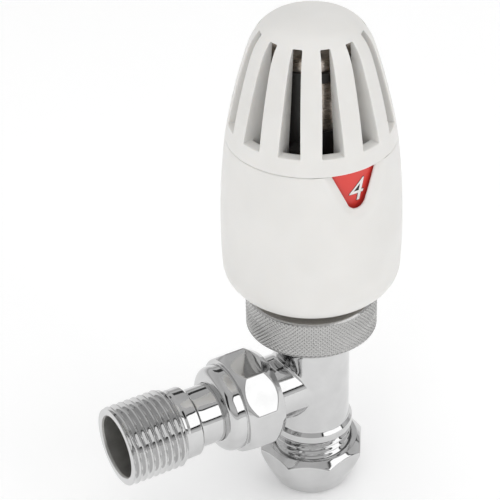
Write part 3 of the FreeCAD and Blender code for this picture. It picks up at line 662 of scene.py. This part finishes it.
# The skirt's window is cut in a square patch that reaches from WINDOW_BASE up to the skirt's top edge.
# Each line of its dished border has its distance from the window's edge and how deep it is sunk.
SKIRT_TOP = SEAM - 0.1
WINDOW_BASE = 92.6
SKIRT_COLUMNS = 240
WINDOW_COLUMNS = 40
WINDOW_ROWS = 22
HALF_WINDOW = math.pi * WINDOW_COLUMNS / SKIRT_COLUMNS
SKIRT_INSIDE = np.array([(20.65, 91.7), (20.2, 99.0), (19.55, SKIRT_TOP)])
DISH_WIDTH = 2.6
DISH = ((2.2, 0.03), (1.8, 0.12), (1.4, 0.28), (1.0, 0.5), (0.6, 0.75), (0.3, 0.92), (0.12, 1.02),
        (0.03, 1.12), (0.0, 1.25))


def skirt_outside():
    """The skirt's outer outline from its bottom edge to its top edge."""
    foot = arc((17.16, 64.4), (22.4, 70.5), 6.6, 12)
    flank = arc((22.4, 70.5), (SEAM_RADIUS, SKIRT_TOP), 208, 24)
    return np.vstack([foot, flank[1:]])


def window_edge(count):
    """The window's U from its top left to its top right: points, outward normals and directions."""
    half, foot, low, tip = 6.7, 2.5, 97.7, 2.9
    side = resampled(np.array([(-half, SKIRT_TOP), (-foot, low)]), 0.1, closed=False)
    base = arc((-foot, low), (foot, low), tip, 40)[1:]
    other = resampled(np.array([(foot, low), (half, SKIRT_TOP)]), 0.1, closed=False)[1:]
    line = np.vstack([side, base, other])
    travelled = np.concatenate([[0], np.cumsum(np.linalg.norm(np.diff(line, axis=0), axis=1))])
    marks = np.linspace(0, travelled[-1], count)
    points = np.stack([np.interp(marks, travelled, line[:, 0]), np.interp(marks, travelled, line[:, 1])], -1)
    along = np.gradient(points, axis=0)
    along /= np.linalg.norm(along, axis=1, keepdims=True)
    normals = np.stack([along[:, 1], -along[:, 0]], -1)
    return points, normals, along


def window_square():
    """The square round the window as (turn, height) points, from its top left round to its top right."""
    heights = np.linspace(WINDOW_BASE, SKIRT_TOP, WINDOW_ROWS + 1)
    turns = np.linspace(-HALF_WINDOW, HALF_WINDOW, WINDOW_COLUMNS + 1)
    left = [(-HALF_WINDOW, height) for height in heights[::-1]]
    below = [(turn, WINDOW_BASE) for turn in turns[1:-1]]
    right = [(HALF_WINDOW, height) for height in heights]
    return np.array(left + below + right)


def skirt_below_window(shell, outside):
    """The whole rings below the window's square, outside and inside, with the inner flange."""
    turn = np.linspace(0, 2 * math.pi, SKIRT_COLUMNS, endpoint=False) + WINDOW_TURN
    outer_line = np.vstack([[(16.36, 66.0), (16.36, 64.8), (16.7, 64.45)],
                            outside[outside[:, 1] < WINDOW_BASE - 0.5],
                            [(radius_at(outside, WINDOW_BASE), WINDOW_BASE)]])
    outer_line = resampled(outer_line, 1.0, closed=False)
    inner_line = [(radius_at(SKIRT_INSIDE, WINDOW_BASE), WINDOW_BASE), (20.6, 92.0), (17.6, 91.7),
                  (17.5, 91.6), (17.5, 90.3), (17.6, 90.2), (20.7, 90.1), (20.7, 70.8), (20.1, 68.8),
                  (16.36, 66.0)]
    for line in (outer_line, inner_line):
        shell.patch([upright(across, turn, up) for across, up in line], closed=True)


def skirt_beside_window(shell, outside):
    """The wall beside the window's square, from its outside over the top edge to its inside."""
    columns = SKIRT_COLUMNS - WINDOW_COLUMNS + 1
    turn = np.linspace(HALF_WINDOW, 2 * math.pi - HALF_WINDOW, columns) + WINDOW_TURN
    heights = np.linspace(WINDOW_BASE, SKIRT_TOP, WINDOW_ROWS + 1)
    edge = 0.3
    rim = radius_at(outside, SKIRT_TOP)
    line = [(radius_at(outside, height), height) for height in heights[:-1]]
    line += [(rim - 0.02, SKIRT_TOP - edge), (rim - 0.1, SKIRT_TOP - 0.08), (rim - edge, SKIRT_TOP)]
    line += [(radius_at(SKIRT_INSIDE, height), height) for height in heights[::-1]]
    shell.patch([upright(across, turn, up) for across, up in line])


def skirt_window(shell, outside):
    """The square with the window in it: outer face, dished border, edge and inner face."""
    square = window_square()
    points, normals, along = window_edge(len(square))

    def beside_edge(offset):
        """The line this far outside the window's edge, with both ends on the skirt's top edge."""
        line = points + normals * offset
        for end in (0, -1):
            line[end] += along[end] * ((SKIRT_TOP - line[end, 1]) / along[end, 1])
        line[:, 1] = np.minimum(line[:, 1], SKIRT_TOP)
        return line

    border = beside_edge(DISH_WIDTH)
    border_turn = border[:, 0] / radius_at(outside, border[:, 1])
    rows = []
    for share in np.linspace(0, 1, 5):
        around = square[:, 0] * (1 - share) + border_turn * share
        up = np.minimum(square[:, 1] * (1 - share) + border[:, 1] * share, SKIRT_TOP)
        rows.append(upright(radius_at(outside, up), around + WINDOW_TURN, up))
    for offset, sunk in DISH:
        line = beside_edge(offset)
        across = radius_at(outside, line[:, 1])
        rows.append(upright(across - sunk, line[:, 0] / across + WINDOW_TURN, line[:, 1]))
    front_rows = len(rows)
    edge_turn = points[:, 0] / radius_at(outside, points[:, 1])
    for share in np.linspace(0, 1, 5):
        around = edge_turn * (1 - share) + square[:, 0] * share
        up = points[:, 1] * (1 - share) + square[:, 1] * share
        rows.append(upright(radius_at(SKIRT_INSIDE, up), around + WINDOW_TURN, up))
    shell.patch(rows)
    close_top_edge(shell, np.array(rows), front_rows)


def close_top_edge(shell, rows, front_rows):
    """The skirt's top edge on either side of the window, between the outer rows and the inner ones."""
    for end in (0, -1):
        front = rows[:front_rows, end]
        back = rows[front_rows:, end][::-1]
        wanted, known = np.linspace(0, 1, front_rows), np.linspace(0, 1, len(back))
        back = np.stack([np.interp(wanted, known, back[:, axis]) for axis in range(3)], -1)
        shell.patch([front, back])


def skirt_piece():
    """The handwheel's lower half: a thin shell with a dished window cut in its top edge."""
    shell = Shell()
    outside = skirt_outside()
    skirt_below_window(shell, outside)
    skirt_beside_window(shell, outside)
    skirt_window(shell, outside)
    piece = shell.piece("skirt_piece", materials["white_plastic"], 55.0)
    return finish_piece(piece, "handwheel", "white_plastic", "handwheel_skirt")


# The cap's slots run from SILL to SLOT_TOP. SOFT_EDGE is how far a rounded corner reaches, WALL_SHARE
# how far through the wall its middle row of points runs, and EYE the radius of the crown's last ring.
SLOTS = 12
SECTOR = 2 * math.pi / SLOTS
SLOT_MIDDLES = [RIB_TURN + (place + 0.5) * SECTOR for place in range(SLOTS)]
SILL = 110.8
SLOT_TOP = 135.2
SILL_RADIUS = 17.3
RIB_FOOT = 13.3
SOFT_EDGE = 0.45
WALL_SHARE = 0.51
EYE = 0.8
FLANK_HEIGHTS = [SEAM, SEAM + 0.35, 108.6, SILL - SOFT_EDGE, SILL]
SLOT_HEIGHTS = [SILL, SILL + SOFT_EDGE, 113.5, 117.0, 121.0, 125.0, 128.5, 131.3, 133.3,
                SLOT_TOP - SOFT_EDGE, SLOT_TOP]


def cap_outside():
    """The cap's outer outline from the seam to the crown's edge and on to its middle."""
    top = reach("handwheel_cap")[1][2]
    rise = top - CROWN[1]
    crown_radius = (CROWN[0] ** 2 + rise ** 2) / (2 * rise)
    flank = arc((SEAM_RADIUS, SEAM), SHOULDER, 156, 48)
    shoulder = arc(SHOULDER, CROWN, 11, 16)[1:]
    crown = arc(CROWN, (0.01, top), crown_radius, 16)[1:]
    return np.vstack([flank, shoulder, crown])


CAP_OUTSIDE = cap_outside()


def outer(height):
    """The cap's outer radius at a height."""
    return float(radius_at(CAP_OUTSIDE, height))


def inner(height):
    """The radius of the ribs' inner faces at a height."""
    return float(np.interp(height, [SEAM, SILL, 122.0, 133.0, SLOT_TOP],
                           [RIB_FOOT, RIB_FOOT, 12.4, 11.6, outer(SLOT_TOP) - 0.6]))


def slot_half(height):
    """Half of the slot's angle; ribs keep nearly the same width while the dome narrows."""
    share = (height - SILL) / (SLOT_TOP - SILL)
    return math.radians(7.7 - 2.2 * max(0.0, min(1.0, share)))


def slot_turns(height):
    """Angles over one slot, from edge to edge."""
    half = slot_half(height)
    support = SOFT_EDGE / outer(height)
    return np.concatenate([[-half], np.linspace(-half + support, half - support, 3), [half]])


def rib_turns(height):
    """Angles over one rib, from its edge at the slot to its other edge."""
    start, end = slot_half(height), SECTOR - slot_half(height)
    support = SOFT_EDGE / outer(height)
    middle = np.linspace(start + support, end - support, 4)
    return np.concatenate([[start], middle, [end]])


def between(start, end):
    """Four values from start to end, two of them near the ends to keep the corners there tight."""
    return start + (end - start) * np.array([0.0, 0.12, 0.88, 1.0])


def through_wall(height):
    """Radii along a slot's side wall, from the cap's outer face to the rib's inner face."""
    middle = SILL_RADIUS if height == SILL else outer(height) + (inner(height) - outer(height)) * WALL_SHARE
    return np.concatenate([between(outer(height), middle), between(middle, inner(height))[1:]])


def cap_sector(shell, slot_middle):
    """One slot and the rib beside it."""
    def across_slot(places):
        shell.patch([upright(across, slot_middle + slot_turns(up), up) for across, up in places])

    def across_rib(places):
        shell.patch([upright(across, slot_middle + rib_turns(up), up) for across, up in places])

    def both(height):
        return slot_middle + np.concatenate([slot_turns(height), rib_turns(height)[1:]])

    def side_wall(side, radii, height):
        return upright(radii, slot_middle + side * slot_half(height) + 0 * radii, height)

    shell.patch([upright(outer(height), both(height), height) for height in FLANK_HEIGHTS])
    across_rib([(outer(height), height) for height in SLOT_HEIGHTS])
    across_rib([(inner(height), height) for height in FLANK_HEIGHTS[:-1] + SLOT_HEIGHTS])
    across_slot([(SILL_RADIUS, height) for height in FLANK_HEIGHTS])
    for height in (SEAM, SILL):
        across_slot([(across, height) for across in between(outer(height), SILL_RADIUS)])
    foot = between(SILL_RADIUS, RIB_FOOT)
    across_rib([(across, SEAM) for across in between(outer(SEAM), SILL_RADIUS)])
    across_rib([(across, SEAM) for across in foot])
    for side in (-1, 1):
        shell.patch([side_wall(side, foot, height) for height in FLANK_HEIGHTS])
        shell.patch([side_wall(side, through_wall(height), height) for height in SLOT_HEIGHTS])
    across_slot([(across, SLOT_TOP) for across in through_wall(SLOT_TOP)])


def crown_turns(spread):
    """Angles all round the crown: spaced like the slots and ribs at spread 0, and evenly at 1."""
    sector_turns = np.concatenate([slot_turns(SLOT_TOP), rib_turns(SLOT_TOP)[1:-1]])
    turns = np.concatenate([middle + sector_turns for middle in SLOT_MIDDLES])
    start = RIB_TURN + SECTOR / 2 - slot_half(SLOT_TOP)
    even = start + np.linspace(0, 2 * math.pi, len(turns), endpoint=False)
    return turns * (1 - spread) + even * spread


def crown_face(shell, outline, spreads):
    """Turn an outline that ends near the axis, and close its last ring."""
    rows = [upright(across, crown_turns(spread), up) for (across, up), spread in zip(outline, spreads)]
    shell.patch(rows, closed=True)
    shell.disc(rows[-1])


def cap_crown(shell):
    """The crown over the slots, and its underside."""
    dome = CAP_OUTSIDE[CAP_OUTSIDE[:, 1] > SLOT_TOP + 0.05]
    picks = np.linspace(0, len(dome) - 1, 11).round().astype(int)
    dome = np.vstack([[(outer(SLOT_TOP), SLOT_TOP)], [(outer(SLOT_TOP + 0.3), SLOT_TOP + 0.3)],
                      dome[picks[1:-1]], [(EYE, CAP_OUTSIDE[-1, 1] - 0.01)]])
    crown_face(shell, dome, np.clip(np.linspace(0, 1.4, len(dome)), 0, 1))
    ceiling = SLOT_TOP + 0.35
    under = [(inner(SLOT_TOP), SLOT_TOP), (inner(SLOT_TOP) - 0.5, SLOT_TOP + 0.03), (8.0, ceiling - 0.15),
             (4.0, ceiling - 0.05), (EYE, ceiling)]
    crown_face(shell, under, (0, 0, 0.5, 1, 1))


def cap_piece():
    """The handwheel's upper half: a dome on twelve ribs, with deep slots between them."""
    shell = Shell()
    for slot_middle in SLOT_MIDDLES:
        cap_sector(shell, slot_middle)
    cap_crown(shell)
    piece = shell.piece("cap_piece", materials["white_plastic"], smooth_levels=2)
    return finish_piece(piece, "handwheel", "white_plastic", "handwheel_cap")


# ---------------------------------------------------------------- setting numbers

NUMBER_SIZE = 8.5
NUMBER_SLANT = 0.22
NUMBER_RELIEF = 0.04
NUMBER_STRIP = 0.35
OUTLINE_BOLD, OUTLINE_LIFT = 0.07, 0.02
FRONT_BOLD, FRONT_LIFT = -0.05, 0.1


def flat_text(name, character, bold):
    """The mesh of a slanted character lying flat; bold widens its strokes."""
    font = bpy.data.curves.new(name, "FONT")
    font.body = character
    font.size = NUMBER_SIZE
    font.shear = NUMBER_SLANT
    font.offset = bold
    font.align_x = "CENTER"
    font.align_y = "CENTER"
    font.extrude = NUMBER_RELIEF
    font.resolution_u = 6
    carrier = new_object(name, font)
    graph = bpy.context.evaluated_depsgraph_get()
    mesh = bpy.data.meshes.new_from_object(carrier.evaluated_get(graph))
    bpy.data.objects.remove(carrier)
    return mesh


def wrapped_text(name, character, bold, lift, turn, material):
    """A character laid round the drum, cut into upright strips so that it can bend."""
    low, high = reach("setting_drum")
    radius = high[0]
    height = (low[2] + high[2]) / 2 + 0.1
    mesh = flat_text(name, character, bold)
    shape = bmesh.new()
    shape.from_mesh(mesh)
    bmesh.ops.remove_doubles(shape, verts=shape.verts, dist=1e-4)
    for cut in np.arange(-NUMBER_SIZE, NUMBER_SIZE, NUMBER_STRIP):
        everything = shape.verts[:] + shape.edges[:] + shape.faces[:]
        bmesh.ops.bisect_plane(shape, geom=everything, plane_co=(cut, 0, 0), plane_no=(1, 0, 0))
    for point in shape.verts:
        sideways, up, out = point.co
        across = radius + lift + out
        angle = turn + sideways / radius
        point.co = (across * math.cos(angle) * MM, across * math.sin(angle) * MM, (height + up) * MM)
    bmesh.ops.recalc_face_normals(shape, faces=shape.faces)
    shape.to_mesh(mesh)
    shape.free()
    mesh.name = name
    mesh.materials.clear()
    mesh.materials.append(material)
    return new_object(name, mesh)


def setting_numbers():
    """The dial's numbers and its frost star, in white with a dark outline, an eighth of a turn apart."""
    marks = {0: "4", 45: "5", -45: "3", -90: "2", -135: "1", 180: "*", 135: "0"}
    dark, white = materials["black_plastic"], materials["number_ink"]
    for degrees, character in marks.items():
        turn = NUMBER_TURN + math.radians(degrees)
        label = "star" if character == "*" else character
        back = wrapped_text("outline_%s" % label, character, OUTLINE_BOLD, OUTLINE_LIFT, turn, dark)
        finish_piece(back, "valve_body", "black_plastic")
        front = wrapped_text("number_%s" % label, character, FRONT_BOLD, FRONT_LIFT, turn, white)
        finish_piece(front, "valve_body", "number_ink")


# ---------------------------------------------------------------- studio

def compass(azimuth, elevation):
    """Unit vector towards a place in the studio; azimuth runs from the window's side (-Y) towards +X."""
    turn, lift = math.radians(azimuth), math.radians(elevation)
    return Vector((math.sin(turn) * math.cos(lift), -math.cos(turn) * math.cos(lift), math.sin(lift)))


class Tent:
    """The world's shader: a pale tent with darker cards hung in it."""

    def __init__(self):
        world = bpy.data.worlds.new("tent")
        bpy.context.scene.world = world
        world.use_nodes = True
        self.tree = world.node_tree
        self.direction = self.tree.nodes.new("ShaderNodeTexCoord").outputs["Generated"]
        self.colour = None

    def math_node(self, operation, *values):
        """A maths node that is fed with numbers or with other nodes' outputs."""
        node = self.tree.nodes.new("ShaderNodeMath")
        node.operation = operation
        for place, value in enumerate(values):
            if isinstance(value, (int, float)):
                node.inputs[place].default_value = value
            else:
                self.tree.links.new(value, node.inputs[place])
        return node.outputs[0]

    def along(self, vector):
        """How far the looked-at direction goes along a vector."""
        node = self.tree.nodes.new("ShaderNodeVectorMath")
        node.operation = "DOT_PRODUCT"
        self.tree.links.new(self.direction, node.inputs[0])
        node.inputs[1].default_value = vector
        return node.outputs["Value"]

    def gradient(self, stops):
        """Grey levels by height, from straight down (-1) to straight up (1)."""
        ramp = self.tree.nodes.new("ShaderNodeValToRGB")
        elements = ramp.color_ramp.elements
        while len(elements) < len(stops):
            elements.new(0.5)
        for element, (height, level) in zip(elements, stops):
            element.position = (height + 1) / 2
            element.color = (level, level, level, 1)
        height = self.math_node("MULTIPLY_ADD", self.along((0, 0, 1)), 0.5, 0.5)
        self.tree.links.new(height, ramp.inputs["Fac"])
        self.colour = ramp.outputs["Color"]

    def card(self, azimuth, elevation, width, height, level, soft=0.02):
        """A flat card of this half-width and half-height, as tangents of its angles, facing the object."""
        centre = compass(azimuth, elevation)
        right = Vector((math.cos(math.radians(azimuth)), math.sin(math.radians(azimuth)), 0))
        depth = self.along(centre)
        inside = self.math_node("GREATER_THAN", depth, 0.0)
        for vector, half in ((right, width), (right.cross(centre), height)):
            offset = self.math_node("ABSOLUTE", self.math_node("DIVIDE", self.along(vector), depth))
            edge = self.math_node("DIVIDE", self.math_node("SUBTRACT", half, offset), soft)
            clamped = self.math_node("MINIMUM", self.math_node("MAXIMUM", edge, 0.0), 1.0)
            inside = self.math_node("MULTIPLY", inside, clamped)
        mix = self.tree.nodes.new("ShaderNodeMix")
        mix.data_type = "RGBA"
        self.tree.links.new(inside, mix.inputs[0])
        self.tree.links.new(self.colour, mix.inputs[6])
        mix.inputs[7].default_value = (level, level, level, 1)
        self.colour = mix.outputs[2]

    def finish(self):
        """Join the last colour to the world's background."""
        self.tree.links.new(self.colour, self.tree.nodes["Background"].inputs["Color"])


SOFTBOX_AZIMUTH = 34.0
SOFTBOX_ELEVATION = 33.0


def studio_world():
    """The tent: pale below, dark over the horizon and grey above, with dark cards hung in it.

    The first card puts a dark border round the softbox; the others are at the left, back and right.
    """
    tent = Tent()
    tent.gradient([(-1.0, 0.9), (0.0, 0.80), (0.10, 0.72), (0.14, 0.42), (0.30, 0.66), (0.60, 0.60),
                   (0.80, 0.56), (1.0, 0.66)])
    tent.card(SOFTBOX_AZIMUTH, SOFTBOX_ELEVATION, 0.50, 0.42, 0.02)
    tent.card(-75, 25, 0.16, 0.40, 0.03)
    tent.card(160, 30, 0.22, 0.12, 0.05)
    tent.card(100, 40, 0.10, 0.50, 0.04)
    tent.finish()


def area_light(name, azimuth, elevation, distance, width, height, radiance, reflected=True):
    """A soft rectangular light that looks at the middle of the part; radiance is its own brightness."""
    light = bpy.data.lights.new(name, "AREA")
    light.shape = "RECTANGLE"
    light.size = width
    light.size_y = height
    light.energy = radiance * math.pi * width * height
    lamp = new_object(name, light)
    away = compass(azimuth, elevation)
    lamp.location = Vector((0, 0, 0.06)) + away * distance
    lamp.rotation_mode = "QUATERNION"
    lamp.rotation_quaternion = away.to_track_quat("Z", "Y")
    lamp.visible_glossy = reflected


def studio_lights():
    """A softbox that polished metal shows, and an overhead bank and a left fill that it doesn't."""
    area_light("softbox", SOFTBOX_AZIMUTH, SOFTBOX_ELEVATION, 1.2, 1.0, 0.78, 1.6)
    area_light("overhead", 0, 90, 1.6, 2.0, 2.0, 0.85, reflected=False)
    area_light("left_fill", -64, 18, 1.5, 1.2, 1.0, 1.35, reflected=False)


FLOOR_HALF_SIDE = 6.0
FLOOR_GAP = 0.0002
FLOOR_GLOW = 0.17


def pale_floor():
    """A wide, pale, faintly mottled and glowing floor, just under the lowest point of the part."""
    nodes = Nodes("floor_paper", (0.93, 0.93, 0.93), 0.7)
    nodes.feed("Base Color", nodes.ramp(nodes.noise(3.0), (0.925, 0.925, 0.925), (0.935, 0.935, 0.935)))
    nodes.shader.inputs["Emission Color"].default_value = (1, 1, 1, 1)
    nodes.shader.inputs["Emission Strength"].default_value = FLOOR_GLOW
    drop = cad_box[0].z - FLOOR_GAP
    corners = [(across * FLOOR_HALF_SIDE, along * FLOOR_HALF_SIDE, drop)
               for across, along in ((-1, -1), (1, -1), (1, 1), (-1, 1))]
    mesh = bpy.data.meshes.new("floor")
    mesh.from_pydata(corners, [], [(0, 1, 2, 3)])
    mesh.materials.append(nodes.material)
    floor = new_object("floor", mesh)


CAMERA_AZIMUTH = -31.5
CAMERA_ELEVATION = 34.1
CAMERA_DISTANCE = 0.450
CAMERA_LENS = 128.45
CAMERA_PAN = 1.968
CAMERA_TILT = 0.096
TARGET_HEIGHT = 0.0716


def make_camera():
    """A long lens from between the window and the tail, aimed a little left of the spindle's axis."""
    back = compass(CAMERA_AZIMUTH, CAMERA_ELEVATION)
    data = bpy.data.cameras.new("camera")
    data.lens = CAMERA_LENS
    data.sensor_width = 36.0
    data.clip_start = 0.01
    camera = new_object("camera", data)
    camera.location = Vector((0, 0, TARGET_HEIGHT)) + back * CAMERA_DISTANCE
    camera.rotation_mode = "QUATERNION"
    pan = Quaternion((0, 1, 0), math.radians(CAMERA_PAN))
    tilt = Quaternion((1, 0, 0), math.radians(CAMERA_TILT))
    camera.rotation_quaternion = (-back).to_track_quat("-Z", "Y") @ pan @ tilt
    bpy.context.scene.camera = camera


paint_cad_nodes()
body_casting()
pipe_nut()
union_piece()
tail_piece()
ring_piece()
skirt_piece()
cap_piece()
setting_numbers()
studio_world()
pale_floor()
studio_lights()
make_camera()
bpy.context.scene.view_settings.view_transform = "Standard"
